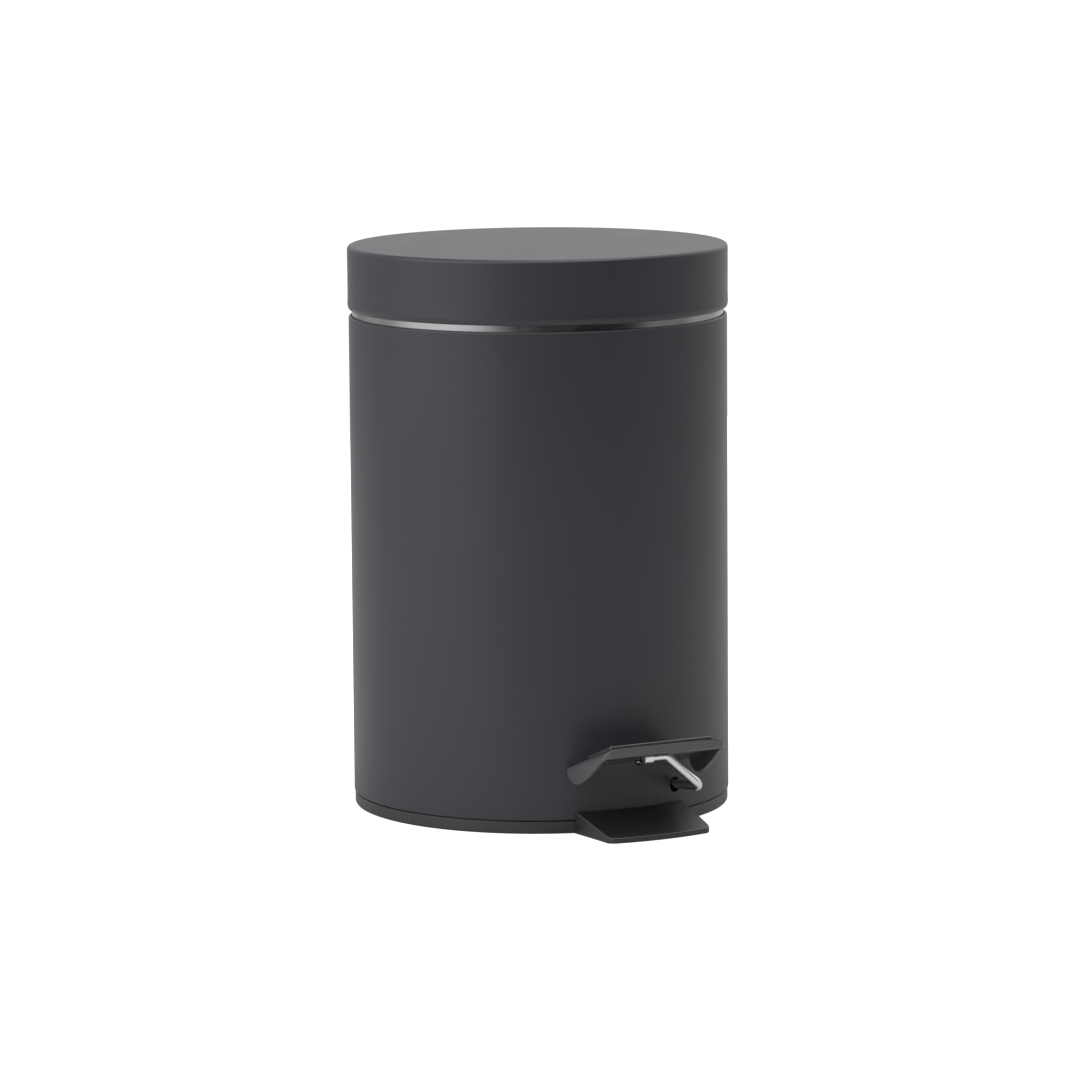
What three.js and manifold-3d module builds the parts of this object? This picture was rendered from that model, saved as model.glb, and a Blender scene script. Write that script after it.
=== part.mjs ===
// Pedal trash can of the three litre class: a painted steel tube on a plastic base, with a hinged lid
// that a foot pedal lifts through a rocking wire lever and an upright push rod.
//
// Millimetres, +Z up. The origin is on the bin's axis at floor level.
// The pedal points along -Y, the lid's hinge is at +Y, and -X is on the left of someone facing the pedal.

import * as THREE from 'three';
import { mergeVertices } from 'three/addons/utils/BufferGeometryUtils.js';
import Module from 'manifold-3d';

const wasm = await Module();
wasm.setup();

// ---------------------------------------------------------------- driving dimensions

const GAP = 0.3; // least distance between neighbouring pieces
const ROUND = 60; // facets around the large rings

const BODY_RADIUS = 84.5;
const BODY_WALL = 0.7;
const BODY_BOTTOM = 6.1;
const BODY_TOP = 220.4;
const BODY_CURL = 1.2;

const BASE_RADIUS = 84.1;
const BASE_TOP = 5.55;
const BASE_EDGE = 0.9;
const BASE_FLOOR = 4.5;
const BASE_RECESS = 2;
const BASE_RIM_INNER = 74;
const BASE_HUB_RADIUS = 12;
const BASE_SIDE = 0.25; // small chamfer at the top of the base's edge
const SPIGOT_RADIUS = 83.5;
const SPIGOT_WALL = 1.5;
const SPIGOT_TOP = 13;

const LIP_RADIUS = 111.6;
const LIP_HALF_ROOT = 28.4;
const LIP_HALF_TIP = 25.5;
const LIP_CORNER = 4;
const LIP_ROOT_Y = -60;
const LIP_EDGE = 2.4;
const LIP_ROOT = 9.8;

const PAD_RADIUS = 8;
const PAD_HEIGHT = 1.7;
const PAD_ORBIT = 60;

const NECK_RADIUS = 83;
const NECK_INNER = 81.4;
const NECK_TOP = 225;
const NECK_STEP = 216;
const NECK_BOTTOM = 209;

const LID_RADIUS = 84.9;
const LID_WALL = 1;
const LID_BOTTOM = 223.2;
const LID_ROLL = 2.8;
const LID_ROLL_INSET = 1;
const LID_TOP = 251.7;
const LID_CROWN = 0.3;
const LID_CORNER = 1.8;
const LINER_RADIUS = 83.7;
const LINER_WALL = 1.5;
const LINER_BOTTOM = 236;
const LINER_TOP = 249.6;
const LINER_BOSS_HALF = 14;
const LINER_BOSS_BACK = 76;

const HINGE_Y = 91;
const HINGE_Z = 222;
const PIN_RADIUS = 1.5;
const EAR_RADIUS = 4.5;
const EAR_INNER_X = 9.5;
const EAR_THICKNESS = 1.5;
const BRACKET_HALF_WIDTH = 17;
const BRACKET_BOTTOM = 187;
const BRACKET_TOP = 214;
const BRACKET_THICKNESS = 1.2;
const BRACKET_SCREW_X = 12;
const BRACKET_SCREW_Z = 194;
const BRACKET_SCREW_SEAT = 86.1;
const GUIDE_HALF_WIDTH = 15.5;
const GUIDE_FRONT = 73.2;
const GUIDE_BOTTOM = 188;
const GUIDE_TOP = 200;

const LID_SWING = THREE.MathUtils.degToRad(80);
const CRANK_RADIUS = 16.5;
const CRANK_FOOT_RADIUS = 2.3;
const ARM_HALF_WIDTH = 6;
const ARM_SHEET = 2.2;
const ARM_STRAP_Z = 226.2;
const ARM_FLANGE_Z = 239.6;
const ARM_FLANGE_Y = 60;
const ARM_FLANGE_HALF = 13;
const ARM_WEB_Y = 73.3;
const ARM_NOTCH_TOP = 229.6;
const KNUCKLE_RADIUS = 3.8;
const CRANK_HALF_WIDTH = 3;
const LID_SCREW_X = 9;
const LID_SCREW_Y = 66;

const PIVOT_Y = -72;
const PIVOT_Z = 16.85;
const ROD_RADIUS = 2.1;
const ROD_BEND = 4.5;
const ROD_SIDE_X = 22.6;
const ROD_FRONT_Y = -104.2;
const ROD_FRONT_Z = 35.6;
const ROD_ELBOW_Z = 20.1;
const ROD_LEG_TOP_X = 5.1;
const ROD_END_X = -6.2;
const ROD_REAR_X = -12;
const ROD_REAR_Z = 8;
const ROD_REAR_END_X = 8;
const BEARING_X = 9.5;
const BEARING_WIDTH = 7;
const BEARING_CLEARANCE = 0.25;
const BEARING_SCREW_Y = -62;
const BEARING_FRONT = -78;
const BEARING_BACK = -58;
const BEARING_CAP = 5.2;

const SLOT_X = 22.8;
const SLOT_HALF_WIDTH = 2.8;
const SLOT_BOTTOM = 13.9;
const SLOT_TOP = 20.8;

const PEDAL_FRONT_Y = -114;
const PEDAL_FRONT_TOP = 42.7;
const PEDAL_FRONT_BOTTOM = 38.6;
const PEDAL_BACK_Y = -79.7;
const PEDAL_BACK_TOP = 30.1;
const PEDAL_WALL = 2;
const PEDAL_HALF_FRONT = 30.4;
const PEDAL_HALF_BACK = 33;
const PEDAL_CORNER = 4;
const PEDAL_SHOULDER_WIDTH = 5;
const PEDAL_SHOULDER_DEPTH = 3.9;
const TREAD_HALF_WIDTH = 25.4;
const TREAD_FRONT = -110;
const TREAD_DEPTH = 22;
const TREAD_THICKNESS = 2.1;
const TREAD_BARS = 5;
const CLIP_X = -4.5;
const CLIP_HALF_WIDTH = 2.1;
const CLIP_SHEET = 0.6;
const CLIP_TAIL_HALF = 2.5;
const CLIP_TAIL_TOP = 33.5;
const CLIP_SCREW_Y = -98;
const CLIP_HOLE_TOP = 35.6;

const PUSH_ROD_Y = 76.6;
const PUSH_ROD_RADIUS = 1.6;
const PUSH_ROD_BOTTOM = 14.4;
const PUSH_ROD_TOP = 206;
const YOKE_TOP = 22;
const YOKE_CLEARANCE = 0.4;
const TIP_BOTTOM = 202.5;
const CRANK_CLEARANCE = 0.5;

const BUCKET_TOP_RADIUS = 72.5;
const BUCKET_BOTTOM_RADIUS = 65;
const BUCKET_BOTTOM = 36;
const BUCKET_WALL = 1.3;
const BUCKET_FLANGE_RADIUS = 82.9;
const BUCKET_FLANGE = 1.6;
const BUCKET_CHANNEL_Y = 71;
const BUCKET_CHANNEL_HALF = 10;
const BUCKET_HEEL = 5;

const BAIL_RADIUS = 74.5;
const BAIL_WIRE = 1.4;
const BAIL_Z = 229.8;
const BAIL_END_X = 80.4;
const BAIL_BEND = 3;
const BAIL_LUG_X = 78;
const GRIP_RADIUS = 2.5;
const GRIP_HALF_ANGLE = 16;

const SCREW_HOLE_RADIUS = 1.6;

// ---------------------------------------------------------------- shape helpers

function toSolid(geometry) {
  const bare = geometry.index ? geometry.clone() : geometry;
  bare.deleteAttribute('normal');
  bare.deleteAttribute('uv');
  const merged = mergeVertices(bare, 1e-4);
  const corners = merged.index.array;
  const kept = [];
  for (let i = 0; i < corners.length; i += 3) {
    const [a, b, c] = [corners[i], corners[i + 1], corners[i + 2]];
    if (a !== b && b !== c && c !== a) kept.push(a, b, c);
  }
  const mesh = new wasm.Mesh({
    numProp: 3,
    vertProperties: new Float32Array(merged.attributes.position.array),
    triVerts: new Uint32Array(kept),
  });
  return new wasm.Manifold(mesh);
}

function toGeometry(solid) {
  const mesh = solid.getMesh();
  const geometry = new THREE.BufferGeometry();
  geometry.setAttribute('position', new THREE.BufferAttribute(new Float32Array(mesh.vertProperties), 3));
  geometry.setIndex(new THREE.BufferAttribute(new Uint32Array(mesh.triVerts), 1));
  geometry.computeVertexNormals();
  return geometry;
}

// A solid of revolution about Z. The outline is a list of [radius, height], anticlockwise.
function lathe(outline, facets = ROUND) {
  const points = outline.map(([r, z]) => new THREE.Vector2(r, z));
  const touchesAxis = outline[0][0] === 0;
  if (!touchesAxis) points.push(points[0].clone());
  const geometry = new THREE.LatheGeometry(points, facets);
  geometry.rotateX(Math.PI / 2);
  return toSolid(geometry);
}

// Points of an arc, as [first, second] pairs, between two angles in degrees.
function arc(centreA, centreB, radiusA, radiusB, from, to, steps) {
  const points = [];
  for (let i = 0; i <= steps; i += 1) {
    const angle = THREE.MathUtils.degToRad(from + ((to - from) * i) / steps);
    points.push([centreA + radiusA * Math.cos(angle), centreB + radiusB * Math.sin(angle)]);
  }
  return points;
}

function shapeOf(points) {
  return new THREE.Shape(points.map(([a, b]) => new THREE.Vector2(a, b)));
}

// An outline of [y, z] points, pushed along X.
function sideSlab(points, x0, x1) {
  const geometry = new THREE.ExtrudeGeometry(shapeOf(points), { depth: x1 - x0, bevelEnabled: false });
  const basis = new THREE.Matrix4().makeBasis(
    new THREE.Vector3(0, 1, 0),
    new THREE.Vector3(0, 0, 1),
    new THREE.Vector3(1, 0, 0),
  );
  geometry.applyMatrix4(basis);
  geometry.translate(x0, 0, 0);
  return toSolid(geometry);
}

// An outline of [x, y] points, pushed along Z.
function planSlab(points, z0, z1) {
  const geometry = new THREE.ExtrudeGeometry(shapeOf(points), { depth: z1 - z0, bevelEnabled: false });
  geometry.translate(0, 0, z0);
  return toSolid(geometry);
}

// An outline of [x, z] points, pushed along +Y.
function frontSlab(points, y0, y1) {
  const geometry = new THREE.ExtrudeGeometry(shapeOf(points), { depth: y1 - y0, bevelEnabled: false });
  geometry.rotateX(Math.PI / 2);
  geometry.translate(0, y1, 0);
  return toSolid(geometry);
}

function block(x0, x1, y0, y1, z0, z1) {
  const geometry = new THREE.BoxGeometry(x1 - x0, y1 - y0, z1 - z0);
  geometry.translate((x0 + x1) / 2, (y0 + y1) / 2, (z0 + z1) / 2);
  return toSolid(geometry);
}

function uprightCylinder(radius, x, y, z0, z1, facets = 16) {
  const geometry = new THREE.CylinderGeometry(radius, radius, z1 - z0, facets);
  geometry.rotateX(Math.PI / 2);
  geometry.translate(x, y, (z0 + z1) / 2);
  return toSolid(geometry);
}

function crossCylinder(radius, x0, x1, y, z, facets = 20) {
  const geometry = new THREE.CylinderGeometry(radius, radius, x1 - x0, facets);
  geometry.rotateZ(Math.PI / 2);
  geometry.translate((x0 + x1) / 2, y, z);
  return toSolid(geometry);
}

function endwiseCylinder(radius, x, y0, y1, z, facets = 16) {
  const geometry = new THREE.CylinderGeometry(radius, radius, y1 - y0, facets);
  geometry.translate(x, (y0 + y1) / 2, z);
  return toSolid(geometry);
}

// A pan-head screw with its head's underside at the origin and its shank along -Z.
function screw(shankLength, headRadius = 2.6) {
  const shankRadius = 1.3;
  const headHeight = 1.6;
  const dome = arc(0, 0, headRadius, headHeight, 0, 75, 3);
  const outline = [
    [0, -shankLength],
    [shankRadius, -shankLength + 1],
    [shankRadius, 0],
    ...dome,
    [0, headHeight],
  ];
  const slotReach = headRadius * 0.6;
  const slot = block(-0.35, 0.35, -slotReach, slotReach, headHeight * 0.55, headHeight + 1);
  return lathe(outline, 14).subtract(slot);
}

// A path through stations that each hold a point and a direction.
class StationPath extends THREE.Curve {
  constructor(stations) {
    super();
    this.stations = stations;
  }

  station(u) {
    return this.stations[Math.round(u * (this.stations.length - 1))];
  }

  getPointAt(u) {
    return this.station(u).point.clone();
  }

  getTangentAt(u) {
    return this.station(u).direction.clone();
  }
}

// Stations along a wire that runs straight between corners and turns each corner on a circular bend.
function bentStations(corners, bendRadius, bendSteps) {
  const stations = [];
  const last = corners.length - 1;
  const directionOf = (i) => corners[i + 1].clone().sub(corners[i]).normalize();
  stations.push({ point: corners[0].clone(), direction: directionOf(0) });
  for (let i = 1; i < last; i += 1) {
    const before = directionOf(i - 1);
    const after = directionOf(i);
    const turn = before.angleTo(after);
    const axis = before.clone().cross(after).normalize();
    const start = corners[i].clone().addScaledVector(before, -bendRadius * Math.tan(turn / 2));
    const inward = axis.clone().cross(before);
    const centre = start.clone().addScaledVector(inward, bendRadius);
    for (let step = 0; step <= bendSteps; step += 1) {
      const angle = (turn * step) / bendSteps;
      const point = start.clone().sub(centre).applyAxisAngle(axis, angle).add(centre);
      stations.push({ point, direction: before.clone().applyAxisAngle(axis, angle) });
    }
  }
  stations.push({ point: corners[last].clone(), direction: directionOf(last - 1) });
  return stations;
}

function wireAlong(stations, radius, sides = 12) {
  const section = new THREE.Shape();
  for (let i = 0; i < sides; i += 1) {
    const angle = (2 * Math.PI * i) / sides;
    const [a, b] = [radius * Math.cos(angle), radius * Math.sin(angle)];
    if (i === 0) section.moveTo(a, b);
    else section.lineTo(a, b);
  }
  const path = new StationPath(stations);
  const options = { steps: stations.length - 1, extrudePath: path, bevelEnabled: false };
  return toSolid(new THREE.ExtrudeGeometry(section, options));
}

// ---------------------------------------------------------------- materials

function material(color, roughness, metalness) {
  return new THREE.MeshStandardMaterial({ color, roughness, metalness });
}

const charcoalPaint = () => material(0x3a3b3d, 0.45, 0.3);
const charcoalPlastic = () => material(0x38393b, 0.5, 0);
const blackPlastic = () => material(0x1c1d1f, 0.55, 0);
const greyPlastic = () => material(0x4a4c50, 0.6, 0);
const blackRubber = () => material(0x161616, 0.85, 0);
const blackedSteel = () => material(0x25272b, 0.45, 0.8);
const brightSteel = () => material(0xd8dade, 0.18, 1);
const zincSteel = () => material(0xa8abae, 0.4, 1);

// ---------------------------------------------------------------- casing

function outerBody() {
  const inner = BODY_RADIUS - BODY_WALL;
  const curlBase = BODY_TOP - BODY_CURL;
  const shell = lathe([
    [inner, BODY_BOTTOM],
    [BODY_RADIUS, BODY_BOTTOM],
    ...arc(BODY_RADIUS - BODY_CURL, curlBase, BODY_CURL, BODY_CURL, 0, 90, 3),
    [BODY_RADIUS - BODY_CURL, BODY_TOP - BODY_WALL],
    [inner, curlBase],
  ]);
  const slot = frontSlab(slotOutline(), -BODY_RADIUS - 5, -BODY_RADIUS + 12);
  let body = shell.subtract(slot);
  for (const side of [-1, 1]) {
    const hole = endwiseCylinder(SCREW_HOLE_RADIUS, side * BRACKET_SCREW_X, 78, 90, BRACKET_SCREW_Z);
    body = body.subtract(hole);
  }
  return body;
}

// The round-ended hole that the pedal rod passes through.
function slotOutline() {
  const lowCentre = SLOT_BOTTOM + SLOT_HALF_WIDTH;
  const highCentre = SLOT_TOP - SLOT_HALF_WIDTH;
  return [
    ...arc(SLOT_X, lowCentre, SLOT_HALF_WIDTH, SLOT_HALF_WIDTH, 180, 360, 8),
    ...arc(SLOT_X, highCentre, SLOT_HALF_WIDTH, SLOT_HALF_WIDTH, 0, 180, 8),
  ];
}

function neckRing() {
  const seat = BODY_RADIUS - BODY_WALL - GAP;
  return lathe([
    [NECK_INNER, NECK_BOTTOM],
    [seat, NECK_BOTTOM],
    [seat, NECK_STEP - 0.5],
    [NECK_RADIUS, NECK_STEP],
    [NECK_RADIUS, NECK_TOP - 0.5],
    [NECK_RADIUS - 0.5, NECK_TOP],
    [NECK_INNER, NECK_TOP],
  ]);
}

function baseDish() {
  const spigotInner = SPIGOT_RADIUS - SPIGOT_WALL;
  return lathe([
    [0, 0],
    [BASE_HUB_RADIUS, 0],
    [BASE_HUB_RADIUS + 1, BASE_RECESS],
    [BASE_RIM_INNER - 1, BASE_RECESS],
    [BASE_RIM_INNER, 0],
    ...arc(BASE_RADIUS - BASE_EDGE, BASE_EDGE, BASE_EDGE, BASE_EDGE, -90, 0, 2),
    [BASE_RADIUS, BASE_TOP - BASE_SIDE],
    [BASE_RADIUS - BASE_SIDE, BASE_TOP],
    [SPIGOT_RADIUS, BASE_TOP],
    [SPIGOT_RADIUS, SPIGOT_TOP],
    [spigotInner, SPIGOT_TOP],
    [spigotInner, BASE_FLOOR],
    [0, BASE_FLOOR],
  ]);
}

// The lip's plan: sides that draw in a little and a front edge concentric with the bin, with rounded
// corners.
function lipPlan() {
  const reach = LIP_RADIUS - LIP_CORNER;
  const cornerX = LIP_HALF_TIP - LIP_CORNER;
  const cornerY = -Math.sqrt(reach * reach - cornerX * cornerX);
  const cornerAngle = THREE.MathUtils.radToDeg(Math.atan2(cornerY, cornerX));
  return [
    [-LIP_HALF_ROOT, LIP_ROOT_Y],
    ...arc(-cornerX, cornerY, LIP_CORNER, LIP_CORNER, 180, 180 - cornerAngle, 4),
    ...arc(0, 0, LIP_RADIUS, LIP_RADIUS, -180 - cornerAngle, cornerAngle, 10),
    ...arc(cornerX, cornerY, LIP_CORNER, LIP_CORNER, cornerAngle, 0, 4),
    [LIP_HALF_ROOT, LIP_ROOT_Y],
  ];
}

function baseLip() {
  const face = BODY_RADIUS + GAP;
  const wedge = lathe([
    [BASE_RIM_INNER + 2, 0],
    [LIP_RADIUS + 1, 0],
    [LIP_RADIUS + 1, LIP_EDGE],
    [LIP_RADIUS, LIP_EDGE],
    [face, LIP_ROOT],
    [face, BASE_TOP],
    [BASE_RIM_INNER + 2, BASE_TOP],
  ]);
  return wedge.intersect(planSlab(lipPlan(), -1, LIP_ROOT + 1));
}

// One of the two saddles that the rod's straight middle lies on, with the cap's screw hole.
function bearingBlock(x, z0, z1, screwHoleBottom) {
  const [left, right] = [x - BEARING_WIDTH / 2, x + BEARING_WIDTH / 2];
  const bore = crossCylinder(ROD_RADIUS + BEARING_CLEARANCE, left - 1, right + 1, PIVOT_Y, PIVOT_Z);
  const screwHole = uprightCylinder(SCREW_HOLE_RADIUS, x, BEARING_SCREW_Y, screwHoleBottom, z1 + 1);
  return block(left, right, BEARING_FRONT, BEARING_BACK, z0, z1).subtract(bore).subtract(screwHole);
}

function basePlate() {
  let base = baseDish().add(baseLip());
  for (const side of [-1, 1]) {
    const saddle = bearingBlock(side * BEARING_X, BASE_FLOOR - 1, PIVOT_Z, BASE_FLOOR + 3);
    base = base.add(saddle);
  }
  return base;
}

function bearingCap() {
  return bearingBlock(0, PIVOT_Z + GAP, PIVOT_Z + BEARING_CAP, PIVOT_Z - 1);
}

function footPad() {
  return lathe([
    [0, 0],
    [PAD_RADIUS - 0.4, 0],
    [PAD_RADIUS, 0.4],
    [PAD_RADIUS, PAD_HEIGHT],
    [0, PAD_HEIGHT],
  ], 20);
}

// ---------------------------------------------------------------- hinge

// Side view of one ear: it rises from the plate and rounds over the pin.
function earOutline() {
  const plate = BODY_RADIUS + GAP + 0.1;
  return [
    [plate, BRACKET_TOP - 9],
    [HINGE_Y - 1, BRACKET_TOP - 5],
    ...arc(HINGE_Y, HINGE_Z, EAR_RADIUS, EAR_RADIUS, -20, 180, 10),
    [HINGE_Y - EAR_RADIUS, HINGE_Z - 4],
    [plate, BRACKET_TOP - 0.5],
  ];
}

function hingeBracket() {
  const inner = BODY_RADIUS + GAP;
  const outer = inner + BRACKET_THICKNESS;
  const tube = lathe([
    [inner, BRACKET_BOTTOM],
    [outer, BRACKET_BOTTOM],
    [outer, BRACKET_TOP],
    [inner, BRACKET_TOP],
  ]);
  const window = block(-BRACKET_HALF_WIDTH, BRACKET_HALF_WIDTH, 60, 100, BRACKET_BOTTOM - 1, BRACKET_TOP + 1);
  let bracket = tube.intersect(window);
  const clearOfBody = uprightCylinder(inner, 0, 0, BRACKET_BOTTOM - 5, HINGE_Z + 10, ROUND);
  for (const side of [-1, 1]) {
    const near = side * EAR_INNER_X;
    const far = side * (EAR_INNER_X + EAR_THICKNESS);
    const ear = sideSlab(earOutline(), Math.min(near, far), Math.max(near, far));
    bracket = bracket.add(ear.subtract(clearOfBody));
    const hole = endwiseCylinder(SCREW_HOLE_RADIUS, side * BRACKET_SCREW_X, 78, 92, BRACKET_SCREW_Z);
    bracket = bracket.subtract(hole);
  }
  return bracket.subtract(crossCylinder(PIN_RADIUS + 0.1, -20, 20, HINGE_Y, HINGE_Z));
}

function hingePin() {
  const reach = EAR_INNER_X + EAR_THICKNESS;
  const shank = crossCylinder(PIN_RADIUS, -reach - 1.2, reach + 0.2, HINGE_Y, HINGE_Z);
  const head = crossCylinder(PIN_RADIUS + 1, reach + 0.1, reach + 1.3, HINGE_Y, HINGE_Z);
  return shank.add(head);
}

function rodGuide() {
  const outer = BODY_RADIUS - BODY_WALL - GAP;
  const tube = uprightCylinder(outer, 0, 0, GUIDE_BOTTOM, GUIDE_TOP, ROUND);
  const half = GUIDE_HALF_WIDTH;
  let guide = block(-half, half, GUIDE_FRONT, BODY_RADIUS, GUIDE_BOTTOM, GUIDE_TOP).intersect(tube);
  const bore = uprightCylinder(PUSH_ROD_RADIUS + 0.35, 0, PUSH_ROD_Y, GUIDE_BOTTOM - 1, GUIDE_TOP + 1);
  guide = guide.subtract(bore);
  for (const side of [-1, 1]) {
    const x = side * BRACKET_SCREW_X;
    const hole = endwiseCylinder(SCREW_HOLE_RADIUS, x, GUIDE_FRONT + 2.8, BODY_RADIUS, BRACKET_SCREW_Z);
    guide = guide.subtract(hole);
  }
  return guide;
}

// ---------------------------------------------------------------- lid

function lidShell() {
  const inner = LID_RADIUS - LID_WALL;
  const shell = lathe([
    [0, LID_TOP + LID_CROWN - LID_WALL],
    [inner - LID_CORNER, LID_TOP - LID_WALL],
    [inner - 0.3, LID_TOP - LID_WALL - 0.6],
    [inner, LID_TOP - LID_CORNER - 0.6],
    [inner, LID_BOTTOM + 1],
    ...arc(LID_RADIUS - LID_ROLL_INSET, LID_BOTTOM + LID_ROLL, LID_ROLL_INSET, LID_ROLL, -90, 0, 3),
    ...arc(LID_RADIUS - LID_CORNER, LID_TOP - LID_CORNER, LID_CORNER, LID_CORNER, 0, 90, 4),
    [0, LID_TOP + LID_CROWN],
  ]);
  const notchHalf = ARM_HALF_WIDTH + 1.2;
  const armNotch = block(-notchHalf, notchHalf, 60, 100, LID_BOTTOM - 2, ARM_NOTCH_TOP);
  return shell.subtract(armNotch);
}

function lidLiner() {
  const inner = LINER_RADIUS - LINER_WALL;
  const pan = lathe([
    [0, LINER_TOP - LINER_WALL],
    [inner - 2, LINER_TOP - LINER_WALL],
    [inner, LINER_TOP - LINER_WALL - 2],
    [inner, LINER_BOTTOM],
    [LINER_RADIUS, LINER_BOTTOM],
    [LINER_RADIUS, LINER_TOP - LINER_WALL],
    [LINER_RADIUS - 1, LINER_TOP],
    [0, LINER_TOP],
  ]);
  const bossBottom = ARM_FLANGE_Z + ARM_SHEET + GAP;
  const half = LINER_BOSS_HALF;
  let liner = pan.add(block(-half, half, ARM_FLANGE_Y, LINER_BOSS_BACK, bossBottom, LINER_TOP - 0.5));
  for (const side of [-1, 1]) {
    const x = side * LID_SCREW_X;
    const hole = uprightCylinder(SCREW_HOLE_RADIUS, x, LID_SCREW_Y, bossBottom - 1, LINER_TOP - 1);
    liner = liner.subtract(hole);
  }
  return liner;
}

// The crank's foot, where the push rod's tip lifts it, sits as far below the hinge at rest as it
// rises above it with the lid open.
function crankFoot() {
  const angle = LID_SWING / 2;
  return { y: HINGE_Y - CRANK_RADIUS * Math.cos(angle), z: HINGE_Z - CRANK_RADIUS * Math.sin(angle) };
}

function lidArm() {
  const foot = crankFoot();
  const half = ARM_HALF_WIDTH;
  const flangeHalf = ARM_FLANGE_HALF;
  const strapTop = ARM_STRAP_Z + ARM_SHEET;
  const flangeTop = ARM_FLANGE_Z + ARM_SHEET;
  const back = HINGE_Y + 1.5;
  const webBack = ARM_WEB_Y + ARM_SHEET;
  const knuckle = crossCylinder(KNUCKLE_RADIUS, -half, half, HINGE_Y, HINGE_Z);
  const post = block(-half, half, HINGE_Y - 3, back, HINGE_Z + 1, strapTop);
  const strap = block(-half, half, ARM_WEB_Y, back, ARM_STRAP_Z, strapTop);
  const web = block(-half, half, ARM_WEB_Y, webBack, ARM_STRAP_Z, ARM_FLANGE_Z + 1);
  const flange = block(-flangeHalf, flangeHalf, ARM_FLANGE_Y, webBack, ARM_FLANGE_Z, flangeTop);
  const crank = block(
    -CRANK_HALF_WIDTH,
    CRANK_HALF_WIDTH,
    foot.y - 2.6,
    foot.y + 1,
    foot.z,
    ARM_STRAP_Z + 1,
  );
  const toe = crossCylinder(CRANK_FOOT_RADIUS, -CRANK_HALF_WIDTH, CRANK_HALF_WIDTH, foot.y, foot.z);
  let arm = knuckle.add(post).add(strap).add(web).add(flange).add(crank).add(toe);
  for (const side of [-1, 1]) {
    const x = side * LID_SCREW_X;
    const hole = uprightCylinder(SCREW_HOLE_RADIUS, x, LID_SCREW_Y, ARM_FLANGE_Z - 1, flangeTop + 1);
    arm = arm.subtract(hole);
  }
  return arm.subtract(crossCylinder(PIN_RADIUS + 0.25, -half - 1, half + 1, HINGE_Y, HINGE_Z));
}

// ---------------------------------------------------------------- pedal

function pedalRod() {
  const corners = [
    new THREE.Vector3(ROD_END_X, ROD_FRONT_Y, ROD_FRONT_Z),
    new THREE.Vector3(ROD_LEG_TOP_X, ROD_FRONT_Y, ROD_FRONT_Z),
    new THREE.Vector3(ROD_SIDE_X, ROD_FRONT_Y, ROD_ELBOW_Z),
    new THREE.Vector3(ROD_SIDE_X, PIVOT_Y, PIVOT_Z),
    new THREE.Vector3(-ROD_SIDE_X, PIVOT_Y, PIVOT_Z),
    new THREE.Vector3(ROD_REAR_X, PUSH_ROD_Y, ROD_REAR_Z),
    new THREE.Vector3(ROD_REAR_END_X, PUSH_ROD_Y, ROD_REAR_Z),
  ];
  return wireAlong(bentStations(corners, ROD_BEND, 5), ROD_RADIUS, 12);
}

const PLATE_SLOPE = (PEDAL_FRONT_TOP - PEDAL_BACK_TOP) / (PEDAL_FRONT_Y - PEDAL_BACK_Y);
const PLATE_TILT = Math.atan(PLATE_SLOPE);

// Height of the plate's top at a distance along the bin.
function plateTopAt(y) {
  return PEDAL_BACK_TOP + PLATE_SLOPE * (y - PEDAL_BACK_Y);
}

// Side view of the cover: the sloping top, the upright front face and the wings' lower edge.
function pedalSide() {
  return [
    [PEDAL_FRONT_Y, PEDAL_FRONT_TOP],
    [PEDAL_FRONT_Y, PEDAL_FRONT_BOTTOM],
    [-112.5, 37.9],
    [-108.5, 35.4],
    [-103, 30.9],
    [-95.5, 25.9],
    [-92, 24.3],
    [-88.8, 23.4],
    [-86, 24.1],
    [-82.5, 26],
    [-81.5, 28],
    [PEDAL_BACK_Y, PEDAL_BACK_TOP],
  ];
}

// Plan view of the cover, drawn in by an inset: tapering sides and rounded front corners.
function pedalPlan(inset) {
  const front = PEDAL_FRONT_Y + inset;
  const halfFront = PEDAL_HALF_FRONT - inset;
  const halfBack = PEDAL_HALF_BACK - inset;
  const corner = PEDAL_CORNER - inset * 0.8;
  return [
    ...arc(-halfFront + corner, front + corner, corner, corner, 180, 270, 4),
    ...arc(halfFront - corner, front + corner, corner, corner, 270, 360, 4),
    [halfBack, -60],
    [-halfBack, -60],
  ];
}

// One rounded side edge of the sloping plate, as a long bar that the cover is trimmed to. It runs along
// the cover's tapering side, and its other side lies far out.
function shoulderBar(side) {
  const taper = Math.atan((PEDAL_HALF_BACK - PEDAL_HALF_FRONT) / (-60 - PEDAL_FRONT_Y));
  const [width, depth] = [PEDAL_SHOULDER_WIDTH, PEDAL_SHOULDER_DEPTH];
  const half = PEDAL_HALF_FRONT;
  const outline = [
    [-60, -60],
    [half + 2, -60],
    [half + 2, -depth],
    ...arc(half - width, -depth, width, depth, 0, 90, 4),
    [-60, 0],
  ];
  const bar = frontSlab(outline, -30, 60).rotate([0, 0, -THREE.MathUtils.radToDeg(taper)]);
  return side > 0 ? bar : bar.mirror([1, 0, 0]);
}

function pedalRoof() {
  const tilt = THREE.MathUtils.radToDeg(PLATE_TILT);
  return shoulderBar(-1)
    .intersect(shoulderBar(1))
    .rotate([tilt, 0, 0])
    .translate([0, PEDAL_FRONT_Y, PEDAL_FRONT_TOP]);
}

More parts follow.
